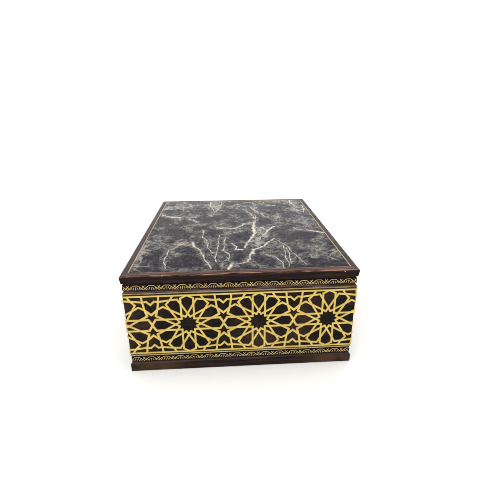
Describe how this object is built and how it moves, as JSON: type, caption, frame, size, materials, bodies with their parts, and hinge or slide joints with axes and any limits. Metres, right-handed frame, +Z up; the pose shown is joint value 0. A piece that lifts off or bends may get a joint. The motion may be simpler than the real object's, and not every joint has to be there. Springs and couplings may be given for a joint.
{
  "type": "inlaid wooden box",
  "caption": "Rectangular dark wooden keepsake box with gilt rosette latticework, narrow inlaid bands, a plinth and a hinged lid with a veined marble top.",
  "frame": {"origin": "centre of the underside, in the plane the box stands on", "axes": "+X to the right seen from the front, +Y to the back where the hinges are, +Z up"},
  "size_m": [0.3, 0.3482, 0.1433],
  "materials": {
    "carcass_wood": "matte",
    "rosewood": "satin",
    "dark_lacquer": "gloss",
    "band_lacquer": "satin",
    "gilt_lattice": "satin",
    "gilt_line": "satin",
    "marble": "polished",
    "lining_felt": "matte",
    "hinge_brass": "satin"
  },
  "bodies": {
    "body": {"base_board": "carcass_wood", "wall_front": "carcass_wood", "wall_right": "carcass_wood", "wall_back": "carcass_wood", "wall_left": "carcass_wood", "panel_front": "dark_lacquer", "panel_right": "dark_lacquer", "panel_back": "dark_lacquer", "panel_left": "dark_lacquer", "ledge_front": "dark_lacquer", "ledge_right": "dark_lacquer", "ledge_back": "dark_lacquer", "ledge_left": "dark_lacquer", "lower_band_front": "band_lacquer", "lower_band_right": "band_lacquer", "lower_band_back": "band_lacquer", "lower_band_left": "band_lacquer", "lattice_front": "gilt_lattice", "lattice_right": "gilt_lattice", "lattice_back": "gilt_lattice", "lattice_left": "gilt_lattice", "lower_fillet": "gilt_line", "upper_fillet": "gilt_line", "plinth_front_left": "rosewood", "plinth_front_right": "rosewood", "plinth_right": "rosewood", "plinth_back": "rosewood", "plinth_left": "rosewood", "floor_lining": "lining_felt", "wall_lining_front": "lining_felt", "wall_lining_right": "lining_felt", "wall_lining_back": "lining_felt", "wall_lining_left": "lining_felt", "hinge_body_leaf_left": "hinge_brass", "hinge_body_leaf_right": "hinge_brass", "hinge_pin_left": "hinge_brass", "hinge_pin_right": "hinge_brass", "body_leaf_screws": "hinge_brass"},
    "lid": {"lid_skirt_front": "carcass_wood", "lid_skirt_right": "carcass_wood", "lid_skirt_back": "carcass_wood", "lid_skirt_left": "carcass_wood", "lid_board": "carcass_wood", "upper_band_front": "band_lacquer", "upper_band_right": "band_lacquer", "upper_band_back": "band_lacquer", "upper_band_left": "band_lacquer", "marble_line": "gilt_line", "rim_front": "rosewood", "rim_right": "rosewood", "rim_back": "rosewood", "rim_left": "rosewood", "lid_lining": "lining_felt", "marble_slab": "marble", "hinge_lid_leaf_left": "hinge_brass", "hinge_lid_leaf_right": "hinge_brass", "lid_leaf_screws": "hinge_brass"}
  },
  "joints": [
    {"name": "lid_hinge", "type": "hinge", "parent": "body", "child": "lid", "pos_m": [0, 0.1725, 0.1216], "axis": [-1, 0, 0], "range_deg": [0, 95]}
  ]
}
